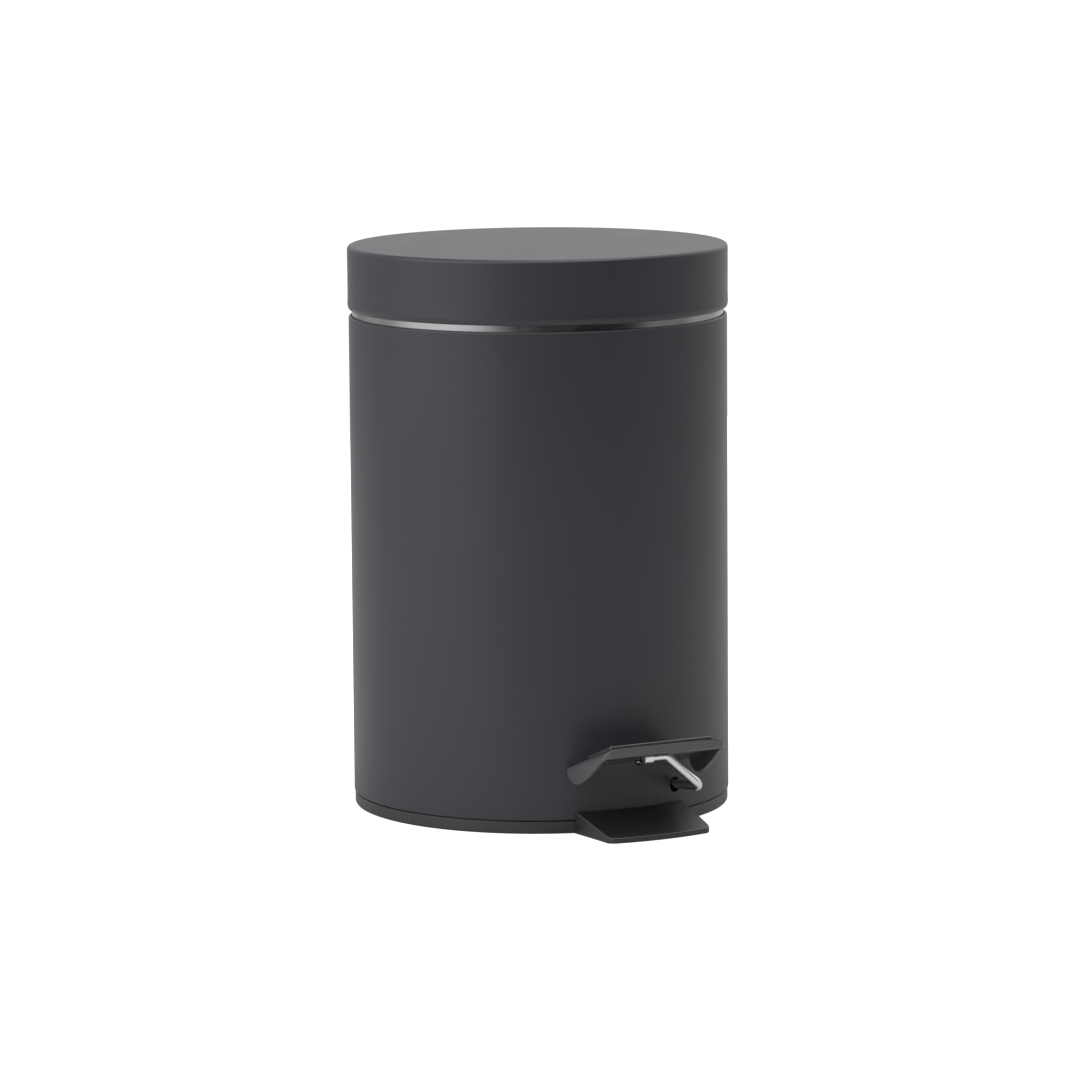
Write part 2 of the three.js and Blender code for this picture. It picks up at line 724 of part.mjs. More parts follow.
function pedalCover() {
  const drop = PEDAL_WALL / Math.cos(PLATE_TILT);
  const side = sideSlab(pedalSide(), -40, 40);
  const outside = side.intersect(planSlab(pedalPlan(0), 0, 60)).intersect(pedalRoof());
  const under = sideSlab(
    [
      [-60, 0],
      [-60, plateTopAt(-60) - drop],
      [PEDAL_FRONT_Y, PEDAL_FRONT_TOP - drop],
      [PEDAL_FRONT_Y, 0],
    ],
    -40,
    40,
  );
  const hollow = under.intersect(planSlab(pedalPlan(PEDAL_WALL), -5, 60));
  const clearOfBody = uprightCylinder(BODY_RADIUS + 1, 0, 0, 0, 60, ROUND);
  return outside.subtract(hollow).add(clipBoss()).subtract(clearOfBody).subtract(rodChannel());
}

// The boss under the plate that the clip's screw goes into.
function clipBoss() {
  const [front, back] = [CLIP_SCREW_Y - 3, CLIP_SCREW_Y + 3];
  const foot = CLIP_TAIL_TOP + GAP;
  return sideSlab(
    [[front, foot], [back, foot], [back, plateTopAt(back) - 1], [front, plateTopAt(front) - 1]],
    CLIP_X - CLIP_TAIL_HALF,
    CLIP_X + CLIP_TAIL_HALF,
  );
}

// The shallow groove that the rod's front end lies in, and the clip's screw hole.
function rodChannel() {
  const right = ROD_LEG_TOP_X + 3;
  const groove = crossCylinder(ROD_RADIUS + GAP, ROD_END_X - GAP, right, ROD_FRONT_Y, ROD_FRONT_Z);
  const screwHole = uprightCylinder(SCREW_HOLE_RADIUS, CLIP_X, CLIP_SCREW_Y, 30, CLIP_HOLE_TOP);
  return groove.add(screwHole);
}

// A sheet clip that hooks around the front of the rod, passes under it and ends in a tail for the screw.
function rodClip() {
  const inner = ROD_RADIUS + GAP;
  const [left, right] = [CLIP_X - CLIP_HALF_WIDTH, CLIP_X + CLIP_HALF_WIDTH];
  const tailBottom = CLIP_TAIL_TOP - CLIP_SHEET;
  const tailFront = CLIP_SCREW_Y - 2.6;
  const ring = crossCylinder(inner + CLIP_SHEET, left, right, ROD_FRONT_Y, ROD_FRONT_Z);
  const neck = block(left, right, ROD_FRONT_Y, tailFront + 1, tailBottom, CLIP_TAIL_TOP);
  const tail = block(
    CLIP_X - CLIP_TAIL_HALF,
    CLIP_X + CLIP_TAIL_HALF,
    tailFront,
    CLIP_SCREW_Y + 2.6,
    tailBottom,
    CLIP_TAIL_TOP,
  );
  const bore = crossCylinder(inner, left - 1, right + 1, ROD_FRONT_Y, ROD_FRONT_Z);
  const behind = block(left - 1, right + 1, ROD_FRONT_Y, -80, CLIP_TAIL_TOP, 50);
  const above = block(left - 1, right + 1, -120, -80, ROD_FRONT_Z + 1, 50);
  const hole = uprightCylinder(SCREW_HOLE_RADIUS, CLIP_X, CLIP_SCREW_Y, 25, 40);
  return ring.subtract(behind).subtract(above).add(neck).add(tail).subtract(bore).subtract(hole);
}

// A flat pad with grooves, made level and then laid on the sloping plate.
function pedalTread() {
  const half = TREAD_HALF_WIDTH;
  let pad = block(-half, half, 0, TREAD_DEPTH, 0, TREAD_THICKNESS);
  for (let i = 1; i < TREAD_BARS; i += 1) {
    const y = (TREAD_DEPTH * i) / TREAD_BARS;
    const groove = block(-half + 1.5, half - 1.5, y - 0.5, y + 0.5, TREAD_THICKNESS - 0.7, 3);
    pad = pad.subtract(groove);
  }
  return pad;
}

// ---------------------------------------------------------------- push rod

function pushRod() {
  return uprightCylinder(PUSH_ROD_RADIUS, 0, PUSH_ROD_Y, PUSH_ROD_BOTTOM, PUSH_ROD_TOP);
}

// The plastic foot that straddles the pedal rod's rear end.
function rodYoke() {
  const mouthTop = ROD_REAR_Z + ROD_RADIUS + YOKE_CLEARANCE;
  const mouthHalf = ROD_RADIUS + 0.5;
  const socket = uprightCylinder(PUSH_ROD_RADIUS + GAP, 0, PUSH_ROD_Y, PUSH_ROD_BOTTOM - GAP, 30);
  const mouth = block(-6, 6, PUSH_ROD_Y - mouthHalf, PUSH_ROD_Y + mouthHalf, 0, mouthTop);
  const foot = block(-4.5, 4.5, PUSH_ROD_Y - 4, PUSH_ROD_Y + 4, BASE_FLOOR + 1, YOKE_TOP);
  return foot.subtract(mouth).subtract(socket);
}

// The plastic tip that lifts the crank's foot.
function rodTip() {
  const top = crankFoot().z - CRANK_FOOT_RADIUS - CRANK_CLEARANCE;
  const socket = uprightCylinder(PUSH_ROD_RADIUS + GAP, 0, PUSH_ROD_Y, 200, PUSH_ROD_TOP + GAP);
  return block(-3.5, 3.5, PUSH_ROD_Y - 3, PUSH_ROD_Y + 3, TIP_BOTTOM, top).subtract(socket);
}

// ---------------------------------------------------------------- bucket

// The bucket's round body without its flange, drawn in by a wall's thickness for the cavity.
function bucketBody(inset) {
  const top = NECK_TOP + GAP + BUCKET_FLANGE + (inset ? 5 : 0);
  const bottomRadius = BUCKET_BOTTOM_RADIUS - inset;
  const floor = BUCKET_BOTTOM + inset;
  const heel = BUCKET_HEEL;
  return lathe([
    [0, floor],
    ...arc(bottomRadius - heel, floor + heel, heel, heel, -90, 0, 3),
    [BUCKET_TOP_RADIUS - inset, top],
    [0, top],
  ]);
}

function bucketFlange(bottom, top) {
  const inner = BUCKET_TOP_RADIUS - 2;
  return lathe([
    [inner, bottom],
    [BUCKET_FLANGE_RADIUS, bottom],
    [BUCKET_FLANGE_RADIUS, top - 0.5],
    [BUCKET_FLANGE_RADIUS - 0.5, top],
    [inner, top],
  ]);
}

function innerBucket() {
  const flangeBottom = NECK_TOP + GAP;
  const flangeTop = flangeBottom + BUCKET_FLANGE;
  const half = BUCKET_CHANNEL_HALF;
  const wallHalf = half + BUCKET_WALL;
  const channel = block(-half, half, BUCKET_CHANNEL_Y, 100, 0, 300);
  const channelWall = block(-wallHalf, wallHalf, BUCKET_CHANNEL_Y - BUCKET_WALL, 100, 0, 300);
  const cavity = bucketBody(BUCKET_WALL).subtract(channelWall);
  let bucket = bucketBody(0).add(bucketFlange(flangeBottom, flangeTop));
  bucket = bucket.subtract(channel).subtract(cavity);
  for (const side of [-1, 1]) {
    const x = side * BAIL_LUG_X;
    const lug = block(x - 1.5, x + 1.5, -4, 4, flangeTop - 0.5, BAIL_Z + 3);
    bucket = bucket.add(lug);
  }
  return bucket.subtract(crossCylinder(BAIL_WIRE + GAP, -90, 90, 0, BAIL_Z, 12));
}

// The wire lies in a half circle over the front of the flange, with its ends turned out into the lugs.
function bailStations() {
  const at = (x, y) => new THREE.Vector3(x, y, BAIL_Z);
  const leftCorners = [at(-BAIL_END_X, 0), at(-BAIL_RADIUS, 0), at(-BAIL_RADIUS, -2 * BAIL_BEND)];
  const left = bentStations(leftCorners, BAIL_BEND, 3).slice(0, -1);
  const middle = bailArc(180, 360, 30).slice(1, -1);
  const right = left.map(({ point, direction }) => ({
    point: at(-point.x, point.y),
    direction: new THREE.Vector3(direction.x, -direction.y, 0),
  }));
  return [...left, ...middle, ...right.reverse()];
}

// Stations around the wire's half circle, between two angles in degrees.
function bailArc(from, to, steps) {
  const stations = [];
  for (let i = 0; i <= steps; i += 1) {
    const angle = THREE.MathUtils.degToRad(from + ((to - from) * i) / steps);
    const [x, y] = [BAIL_RADIUS * Math.cos(angle), -BAIL_BEND + BAIL_RADIUS * Math.sin(angle)];
    const direction = new THREE.Vector3(-Math.sin(angle), Math.cos(angle), 0);
    stations.push({ point: new THREE.Vector3(x, y, BAIL_Z), direction });
  }
  return stations;
}

function bailHandle() {
  return wireAlong(bailStations(), BAIL_WIRE, 8);
}

// A plastic sleeve over the middle of the wire.
function bailGrip() {
  const sleeve = wireAlong(bailArc(270 - GRIP_HALF_ANGLE, 270 + GRIP_HALF_ANGLE, 6), GRIP_RADIUS, 10);
  const bore = wireAlong(bailArc(240, 300, 10), BAIL_WIRE + GAP, 8);
  return sleeve.subtract(bore);
}

// ---------------------------------------------------------------- assembly

function piece(group, name, solid, look) {
  const mesh = new THREE.Mesh(toGeometry(solid), look);
  mesh.name = name;
  group.add(mesh);
  return mesh;
}

function casing() {
  const group = new THREE.Group();
  piece(group, 'outer_body', outerBody(), charcoalPaint());
  piece(group, 'neck_ring', neckRing(), brightSteel());
  piece(group, 'base_plate', basePlate(), charcoalPlastic());
  for (let i = 0; i < 4; i += 1) {
    const angle = Math.PI / 4 + (i * Math.PI) / 2;
    const pad = piece(group, `foot_pad_${i + 1}`, footPad(), blackRubber());
    pad.position.set(PAD_ORBIT * Math.cos(angle), PAD_ORBIT * Math.sin(angle), 0);
  }
  for (const [word, side] of [['left', -1], ['right', 1]]) {
    const cap = piece(group, `bearing_cap_${word}`, bearingCap(), blackPlastic());
    cap.position.x = side * BEARING_X;
    const capScrew = piece(group, `bearing_screw_${word}`, screw(11), zincSteel());
    capScrew.position.set(side * BEARING_X, BEARING_SCREW_Y, PIVOT_Z + BEARING_CAP + 0.1);
  }
  return group;
}

function hinge() {
  const group = new THREE.Group();
  piece(group, 'hinge_bracket', hingeBracket(), charcoalPaint());
  piece(group, 'hinge_pin', hingePin(), zincSteel());
  piece(group, 'rod_guide', rodGuide(), blackPlastic());
  for (const [word, side] of [['left', -1], ['right', 1]]) {
    const bracketScrew = piece(group, `bracket_screw_${word}`, screw(8), zincSteel());
    bracketScrew.position.set(side * BRACKET_SCREW_X, BRACKET_SCREW_SEAT, BRACKET_SCREW_Z);
    bracketScrew.rotation.x = -Math.PI / 2;
  }
  return group;
}

function lid() {
  const group = new THREE.Group();
  piece(group, 'lid_shell', lidShell(), charcoalPaint());
  piece(group, 'lid_liner', lidLiner(), blackPlastic());
  piece(group, 'lid_arm', lidArm(), zincSteel());
  for (const [word, side] of [['left', -1], ['right', 1]]) {
    const armScrew = piece(group, `lid_screw_${word}`, screw(6), zincSteel());
    armScrew.position.set(side * LID_SCREW_X, LID_SCREW_Y, ARM_FLANGE_Z - 0.1);
    armScrew.rotation.x = Math.PI;
  }
  return group;
}

function pedal() {
  const group = new THREE.Group();
  piece(group, 'pedal_rod', pedalRod(), brightSteel());
  piece(group, 'pedal_cover', pedalCover(), charcoalPlastic());
  piece(group, 'rod_clip', rodClip(), brightSteel());
  const clipScrew = piece(group, 'clip_screw', screw(2.5, 2.3), blackedSteel());
  clipScrew.position.set(CLIP_X, CLIP_SCREW_Y, CLIP_TAIL_TOP - CLIP_SHEET - 0.1);
  clipScrew.rotation.x = Math.PI;
  const tread = piece(group, 'pedal_tread', pedalTread(), blackRubber());
  tread.rotation.x = PLATE_TILT;
  tread.position.set(0, TREAD_FRONT, plateTopAt(TREAD_FRONT) + 0.1);
  return group;
}

function pusher() {
  const group = new THREE.Group();
  piece(group, 'push_rod', pushRod(), zincSteel());
  piece(group, 'rod_yoke', rodYoke(), blackPlastic());
  piece(group, 'rod_tip', rodTip(), blackPlastic());
  return group;
}

function bucket() {
  const group = new THREE.Group();
  piece(group, 'inner_bucket', innerBucket(), greyPlastic());
  piece(group, 'bail_handle', bailHandle(), zincSteel());
  piece(group, 'bail_grip', bailGrip(), blackPlastic());
  return group;
}

const pedalBin = new THREE.Group();
pedalBin.add(casing(), hinge(), lid(), pedal(), pusher(), bucket());

export default pedalBin;
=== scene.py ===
"""Looks for a pedal trash can: painted steel tube and lid, bright neck ring, plastic base and pedal,
a bright wire lever, and the linkage and bucket inside. Everything is in metres, in the frame of the
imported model: the origin is on the bin's axis at floor level and the pedal points along -Y."""

import math

import bmesh
import bpy
from mathutils import Matrix, Vector


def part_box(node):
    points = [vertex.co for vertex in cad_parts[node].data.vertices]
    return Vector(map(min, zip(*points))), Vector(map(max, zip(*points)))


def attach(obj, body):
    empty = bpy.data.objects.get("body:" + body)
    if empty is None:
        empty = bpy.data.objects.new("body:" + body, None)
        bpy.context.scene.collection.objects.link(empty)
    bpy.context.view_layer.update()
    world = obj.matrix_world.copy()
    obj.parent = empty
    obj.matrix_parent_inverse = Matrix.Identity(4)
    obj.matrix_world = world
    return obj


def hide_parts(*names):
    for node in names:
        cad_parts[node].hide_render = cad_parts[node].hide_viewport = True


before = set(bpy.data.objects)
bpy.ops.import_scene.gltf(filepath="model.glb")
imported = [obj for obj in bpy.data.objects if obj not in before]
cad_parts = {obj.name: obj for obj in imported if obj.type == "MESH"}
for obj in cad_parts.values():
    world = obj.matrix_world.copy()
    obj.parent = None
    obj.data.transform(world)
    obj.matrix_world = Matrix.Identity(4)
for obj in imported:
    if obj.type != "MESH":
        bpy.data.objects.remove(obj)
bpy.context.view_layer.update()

MM = 0.001
ROUND = 192  # segments around the large rings

# Driving sizes, in millimetres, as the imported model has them.
BODY_RADIUS = 84.5
BODY_WALL = 0.7
BODY_TOP = 220.4
BODY_BOTTOM = 6.1
LID_RADIUS = 84.9
LID_TOP = 251.7
LID_BOTTOM = 223.2
BASE_RADIUS = 84.1
BASE_TOP = 5.55
LIP_RADIUS = 111.6
LIP_HALF_ROOT = 28.4
LIP_HALF_TIP = 25.5
LIP_ROOT = 9.8
LIP_EDGE = 2.4
SLOT_X = 22.8  # the round-ended slot for the wire, low at the front
SLOT_HALF_WIDTH = 2.8
SLOT_BOTTOM = 13.9
SLOT_TOP = 20.8
PEDAL_FRONT_Y = -114
PEDAL_BACK_Y = -79.7
PEDAL_FRONT_TOP = 42.7
PEDAL_BACK_TOP = 30.1
PEDAL_WALL = 2
PEDAL_CORNER = 4
SHOULDER_WIDTH = 5  # the rounding along the plate's side edges
SHOULDER_DEPTH = 3.9
PEDAL_HALF_FRONT = 30.4
PEDAL_HALF_BACK = 33
TREAD_FRONT = -110
TREAD_HALF_WIDTH = 25.4
TREAD_DEPTH = 22
TREAD_THICKNESS = 2.1
TREAD_BARS = 5
PLATE_SLOPE = (PEDAL_FRONT_TOP - PEDAL_BACK_TOP) / (PEDAL_FRONT_Y - PEDAL_BACK_Y)
HINGE_Y = 91
HINGE_Z = 222
PIVOT_Y = -72
PIVOT_Z = 16.85
WIRE_RADIUS = 2.1
WIRE_FRONT_Y = -104.2  # the wire's bar under the pedal
WIRE_FRONT_Z = 35.6
WIRE_SIDE_X = 22.6
WIRE_BEND = 4.5
WIRE_REAR_Z = 8
PUSH_ROD_Y = 76.6
BAIL_RADIUS = 74.5
BAIL_Z = 229.8
BAIL_CENTRE_Y = -3
SCREW_HEAD = 2.6


# ---------------------------------------------------------------- camera, light and floor


def make_camera():
    camera = bpy.data.objects.new("camera", bpy.data.cameras.new("camera"))
    bpy.context.scene.collection.objects.link(camera)
    camera.data.sensor_width = 36
    camera.data.lens = 180.6
    camera.data.clip_end = 50
    azimuth, pitch, roll = math.radians(-28.505), math.radians(8.172), math.radians(-0.449)
    place = Matrix.Translation((-1.150, -2.118, 0.464))
    turn = Matrix.Rotation(azimuth, 4, "Z") @ Matrix.Rotation(math.pi / 2 - pitch, 4, "X")
    camera.matrix_world = place @ turn @ Matrix.Rotation(roll, 4, "Z")
    bpy.context.scene.camera = camera


CAMERA_SIDE = Vector((-0.4773, -0.8788, 0))
CAMERA_RIGHT = Vector((0.8788, -0.4773, 0))

# The studio as soft patches of light: azimuth from the camera's side towards its right, elevation,
# half width where the patch has faded out, all in degrees, and its strength.
PATCHES = [
    (-60, 15, 50, 1.33),
    (-60, 45, 45, 1.28),
    (-110, 15, 45, 0.49),
    (-150, 10, 45, 0.26),
    (180, 10, 45, 0.49),
    (180, 45, 45, 0.36),
    (140, 10, 45, 0.56),
    (130, 40, 45, 0.66),
    (95, 10, 40, 0.29),
    (0, 50, 40, 0.70),
    (90, 78, 32, 3.6),
]


def make_world():
    """A white studio made of soft patches. The camera itself sees plain white paper."""
    world = bpy.data.worlds.new("studio")
    bpy.context.scene.world = world
    world.use_nodes = True
    tree = world.node_tree
    tree.nodes.clear()
    link = tree.links.new
    direction = tree.nodes.new("ShaderNodeTexCoord")
    total = None
    for azimuth, elevation, spread, strength in PATCHES:
        azimuth, elevation = math.radians(azimuth), math.radians(elevation)
        level = CAMERA_SIDE * math.cos(azimuth) + CAMERA_RIGHT * math.sin(azimuth)
        facing = tree.nodes.new("ShaderNodeVectorMath")
        facing.operation = "DOT_PRODUCT"
        facing.inputs[1].default_value = level * math.cos(elevation) + Vector((0, 0, math.sin(elevation)))
        fade = tree.nodes.new("ShaderNodeMapRange")
        fade.interpolation_type = "SMOOTHSTEP"
        fade.inputs["From Min"].default_value = math.cos(math.radians(spread))
        fade.inputs["From Max"].default_value = 1
        fade.inputs["To Max"].default_value = strength
        add = tree.nodes.new("ShaderNodeMath")
        add.inputs[0].default_value = 0
        link(direction.outputs["Generated"], facing.inputs[0])
        link(facing.outputs["Value"], fade.inputs["Value"])
        if total:
            link(total, add.inputs[0])
        link(fade.outputs["Result"], add.inputs[1])
        total = add.outputs[0]
    studio = tree.nodes.new("ShaderNodeBackground")
    paper = tree.nodes.new("ShaderNodeBackground")
    paper.inputs["Color"].default_value = (1, 1, 1, 1)
    paper.inputs["Strength"].default_value = 1.05
    seen = tree.nodes.new("ShaderNodeLightPath")
    mix = tree.nodes.new("ShaderNodeMixShader")
    output = tree.nodes.new("ShaderNodeOutputWorld")
    link(total, studio.inputs["Strength"])
    link(seen.outputs["Is Camera Ray"], mix.inputs["Fac"])
    link(studio.outputs[0], mix.inputs[1])
    link(paper.outputs[0], mix.inputs[2])
    link(mix.outputs[0], output.inputs["Surface"])


def make_floor():
    mesh = bpy.data.meshes.new("floor")
    reach = 1.2
    corners = [(-reach, -reach, 0), (reach, -reach, 0), (reach, reach, 0), (-reach, reach, 0)]
    mesh.from_pydata(corners, [], [(0, 1, 2, 3)])
    floor = bpy.data.objects.new("floor", mesh)
    bpy.context.scene.collection.objects.link(floor)
    paper = bpy.data.materials.new("floor_paper")
    paper.use_nodes = True
    shader = paper.node_tree.nodes["Principled BSDF"]
    shader.inputs["Base Color"].default_value = (0.62, 0.62, 0.62, 1)
    shader.inputs["Roughness"].default_value = 0.9
    shader.inputs["Specular IOR Level"].default_value = 0.1
    shader.inputs["Emission Color"].default_value = (1, 1, 1, 1)
    seen = paper.node_tree.nodes.new("ShaderNodeLightPath")
    glow = paper.node_tree.nodes.new("ShaderNodeMath")
    glow.operation = "MULTIPLY"
    glow.inputs[1].default_value = 0.8
    paper.node_tree.links.new(seen.outputs["Is Camera Ray"], glow.inputs[0])
    paper.node_tree.links.new(glow.outputs[0], shader.inputs["Emission Strength"])
    mesh.materials.append(paper)


# ---------------------------------------------------------------- materials


class Surface:
    """A Principled material with the few node chains that the finishes here share."""

    def __init__(self, name, color, roughness, metallic=0.0):
        self.material = bpy.data.materials.new(name)
        self.material.use_nodes = True
        self.tree = self.material.node_tree
        self.shader = self.tree.nodes["Principled BSDF"]
        self.shader.inputs["Base Color"].default_value = (*color, 1)
        self.shader.inputs["Roughness"].default_value = roughness
        self.shader.inputs["Metallic"].default_value = metallic
        self.color = color
        self.height = None

    def noise(self, scale, detail=2.0, stretch=(1, 1, 1), distortion=0.0):
        place = self.tree.nodes.new("ShaderNodeTexCoord")
        mapping = self.tree.nodes.new("ShaderNodeMapping")
        mapping.inputs["Scale"].default_value = stretch
        noise = self.tree.nodes.new("ShaderNodeTexNoise")
        noise.inputs["Scale"].default_value = scale
        noise.inputs["Detail"].default_value = detail
        noise.inputs["Distortion"].default_value = distortion
        self.tree.links.new(place.outputs["Object"], mapping.inputs["Vector"])
        self.tree.links.new(mapping.outputs["Vector"], noise.inputs["Vector"])
        return noise.outputs["Fac"]

    def cells(self, scale):
        place = self.tree.nodes.new("ShaderNodeTexCoord")
        cells = self.tree.nodes.new("ShaderNodeTexVoronoi")
        cells.inputs["Scale"].default_value = scale
        self.tree.links.new(place.outputs["Object"], cells.inputs["Vector"])
        return cells.outputs["Distance"]

    def vary_color(self, source, darker, lighter):
        ramp = self.tree.nodes.new("ShaderNodeMapRange")
        ramp.data_type = "FLOAT_VECTOR"
        ramp.inputs[7].default_value = (0.3,) * 3
        ramp.inputs[8].default_value = (0.7,) * 3
        ramp.inputs[9].default_value = [c * darker for c in self.color]
        ramp.inputs[10].default_value = [c * lighter for c in self.color]
        self.tree.links.new(source, ramp.inputs[6])
        self.tree.links.new(ramp.outputs[1], self.shader.inputs["Base Color"])

    def vary_roughness(self, source, low, high):
        ramp = self.tree.nodes.new("ShaderNodeMapRange")
        ramp.inputs["From Min"].default_value = 0.3
        ramp.inputs["From Max"].default_value = 0.7
        ramp.inputs["To Min"].default_value = low
        ramp.inputs["To Max"].default_value = high
        self.tree.links.new(source, ramp.inputs["Value"])
        self.tree.links.new(ramp.outputs["Result"], self.shader.inputs["Roughness"])

    def bump(self, source, depth_mm, strength=1.0):
        bump = self.tree.nodes.new("ShaderNodeBump")
        bump.inputs["Distance"].default_value = depth_mm * MM
        bump.inputs["Strength"].default_value = strength
        self.tree.links.new(source, bump.inputs["Height"])
        if self.height:
            self.tree.links.new(self.height.outputs["Normal"], bump.inputs["Normal"])
        self.tree.links.new(bump.outputs["Normal"], self.shader.inputs["Normal"])
        self.height = bump


def charcoal_paint():
    """Stove enamel on sheet steel: satin, with the faintest orange peel."""
    paint = Surface("charcoal_paint", (0.0455, 0.0485, 0.0560), 0.36)
    paint.vary_color(paint.noise(14, 3), 0.965, 1.035)
    paint.vary_roughness(paint.noise(40, 3), 0.35, 0.372)
    paint.bump(paint.noise(700, 1.5), 0.006, 0.5)
    paint.bump(paint.noise(3500, 1.0), 0.002, 0.4)
    return paint.material


def charcoal_plastic(name, color, specular=0.5):
    """Moulded plastic with a fine spark-eroded grain."""
    plastic = Surface(name, color, 0.38)
    plastic.shader.inputs["Specular IOR Level"].default_value = specular
    plastic.vary_color(plastic.noise(25, 3), 0.92, 1.08)
    plastic.vary_roughness(plastic.noise(120, 2), 0.34, 0.42)
    plastic.bump(plastic.noise(2600, 3.0), 0.02, 0.45)
    return plastic.material


def black_plastic():
    plastic = Surface("black_plastic", (0.012, 0.012, 0.013), 0.45)
    plastic.vary_color(plastic.noise(30, 3), 0.85, 1.15)
    plastic.vary_roughness(plastic.noise(150, 2), 0.4, 0.52)
    plastic.bump(plastic.noise(1800, 2.5), 0.02, 0.4)
    return plastic.material


def grey_plastic():
    """The bucket: polypropylene with a slight flow mottle."""
    plastic = Surface("grey_plastic", (0.055, 0.057, 0.060), 0.42)
    plastic.vary_color(plastic.noise(18, 4, (1, 1, 0.35), 0.4), 0.9, 1.1)
    plastic.vary_roughness(plastic.noise(60, 3), 0.38, 0.5)
    plastic.bump(plastic.noise(900, 2.0), 0.02, 0.3)
    return plastic.material


def black_rubber():
    rubber = Surface("black_rubber", (0.010, 0.010, 0.010), 0.82)
    rubber.vary_color(rubber.noise(90, 4), 0.7, 1.4)
    rubber.bump(rubber.noise(2200, 3.0), 0.04, 0.5)
    return rubber.material


def tread_rubber():
    rubber = Surface("tread_rubber", (0.045, 0.046, 0.048), 0.32)
    rubber.shader.inputs["Specular IOR Level"].default_value = 1.0
    rubber.vary_color(rubber.noise(60, 4), 0.88, 1.12)
    rubber.vary_roughness(rubber.noise(200, 3), 0.27, 0.37)
    rubber.bump(rubber.noise(2400, 3.0), 0.03, 0.5)
    return rubber.material


def polished_steel(name, color, roughness):
    """Polished wire or ring: a soft ripple and a fine grain in the polish."""
    steel = Surface(name, color, roughness, 1.0)
    steel.vary_color(steel.noise(60, 3), 0.96, 1.04)
    steel.vary_roughness(steel.noise(90, 2), roughness * 0.9, roughness * 1.12)
    steel.bump(steel.noise(120, 1), 0.006, 0.2)
    steel.bump(steel.noise(2400, 2), 0.0006, 0.2)
    return steel.material


def zinc_steel():
    """Zinc plating: dull, cloudy and a little yellow."""
    zinc = Surface("zinc_steel", (0.56, 0.56, 0.55), 0.34, 1.0)
    zinc.vary_color(zinc.noise(220, 4, distortion=0.6), 0.84, 1.1)
    zinc.vary_roughness(zinc.noise(300, 3), 0.26, 0.46)
    zinc.bump(zinc.cells(1400), 0.006, 0.4)
    return zinc.material


def blacked_steel():
    steel = Surface("blacked_steel", (0.035, 0.036, 0.038), 0.42, 0.7)
    steel.vary_color(steel.noise(260, 3), 0.8, 1.3)
    steel.vary_roughness(steel.noise(260, 3), 0.34, 0.52)
    return steel.material


# ---------------------------------------------------------------- outlines


def rounded(points, steps=5):
    """An outline of (a, b) points, where a point (a, b, radius) becomes an arc."""
    outline = []
    for i, point in enumerate(points):
        corner = Vector(point[:2])
        if len(point) == 2:
            outline.append(corner)
            continue
        before = (Vector(points[i - 1][:2]) - corner).normalized()
        after = (Vector(points[(i + 1) % len(points)][:2]) - corner).normalized()
        half = before.angle(after) / 2
        centre = corner + (before + after).normalized() * point[2] / math.sin(half)
        start = corner + before * point[2] / math.tan(half) - centre
        turn = math.pi - 2 * half
        side = -1 if before.x * after.y - before.y * after.x > 0 else 1
        for step in range(steps + 1):
            angle = side * turn * step / steps
            outline.append(centre + Matrix.Rotation(angle, 2) @ start)
    return outline


def arc(centre_a, centre_b, radius_a, radius_b, start, end, steps):
    """Points of an arc between two angles in degrees."""
    points = []
    for step in range(steps + 1):
        angle = math.radians(start + (end - start) * step / steps)
        points.append((centre_a + radius_a * math.cos(angle), centre_b + radius_b * math.sin(angle)))
    return points


def smooth_line(points, steps=6):
    """A Catmull-Rom curve through (a, b) points."""
    knots = [Vector(p) for p in (points[0], *points, points[-1])]
    line = []
    for before, start, end, after in zip(knots, knots[1:], knots[2:], knots[3:]):
        for step in range(steps):
            t = step / steps
            line.append(
                0.5 * (2 * start + (end - before) * t
                       + (2 * before - 5 * start + 4 * end - after) * t * t
                       + (3 * start - before - 3 * end + after) * t ** 3)
            )
    return [*line, knots[-1]]


# ---------------------------------------------------------------- mesh helpers


def make_object(name, bm):
    bmesh.ops.recalc_face_normals(bm, faces=bm.faces)
    mesh = bpy.data.meshes.new(name)
    bm.to_mesh(mesh)
    bm.free()
    obj = bpy.data.objects.new(name, mesh)
    bpy.context.scene.collection.objects.link(obj)
    return obj


def lathe(name, outline, segments=ROUND, centre=(0, 0)):
    """A solid of revolution about an upright axis, from (radius, height) points in millimetres."""
    bm = bmesh.new()
    rings = []
    for radius, height in outline:
        if radius < 1e-6:
            rings.append([bm.verts.new((centre[0] * MM, centre[1] * MM, height * MM))])
            continue
        ring = []
        for i in range(segments):
            angle = 2 * math.pi * i / segments
            x, y = centre[0] + radius * math.cos(angle), centre[1] + radius * math.sin(angle)
            ring.append(bm.verts.new((x * MM, y * MM, height * MM)))
        rings.append(ring)
    for low, high in zip(rings, rings[1:] + rings[:1]):
        if len(low) == 1 and len(high) == 1:
            continue
        for i in range(segments):
            j = (i + 1) % segments
            corners = [low[i % len(low)], low[j % len(low)], high[j % len(high)], high[i % len(high)]]
            bm.faces.new(list(dict.fromkeys(corners)))
    return make_object(name, bm)


def slab(name, outline, axis, low, high):
    """A prism: the outline lies across the named axis, in the order X, Y, Z, and runs from low to high."""
    bm = bmesh.new()
    ends = []
    for depth in (low, high):
        ring = []
        for a, b in outline:
            place = {"X": (depth, a, b), "Y": (a, depth, b), "Z": (a, b, depth)}[axis]
            ring.append(bm.verts.new(Vector(place) * MM))
        ends.append(ring)
        bm.faces.new(ring)
    count = len(ends[0])
    for i in range(count):
        j = (i + 1) % count
        bm.faces.new((ends[0][i], ends[0][j], ends[1][j], ends[1][i]))
    return make_object(name, bm)


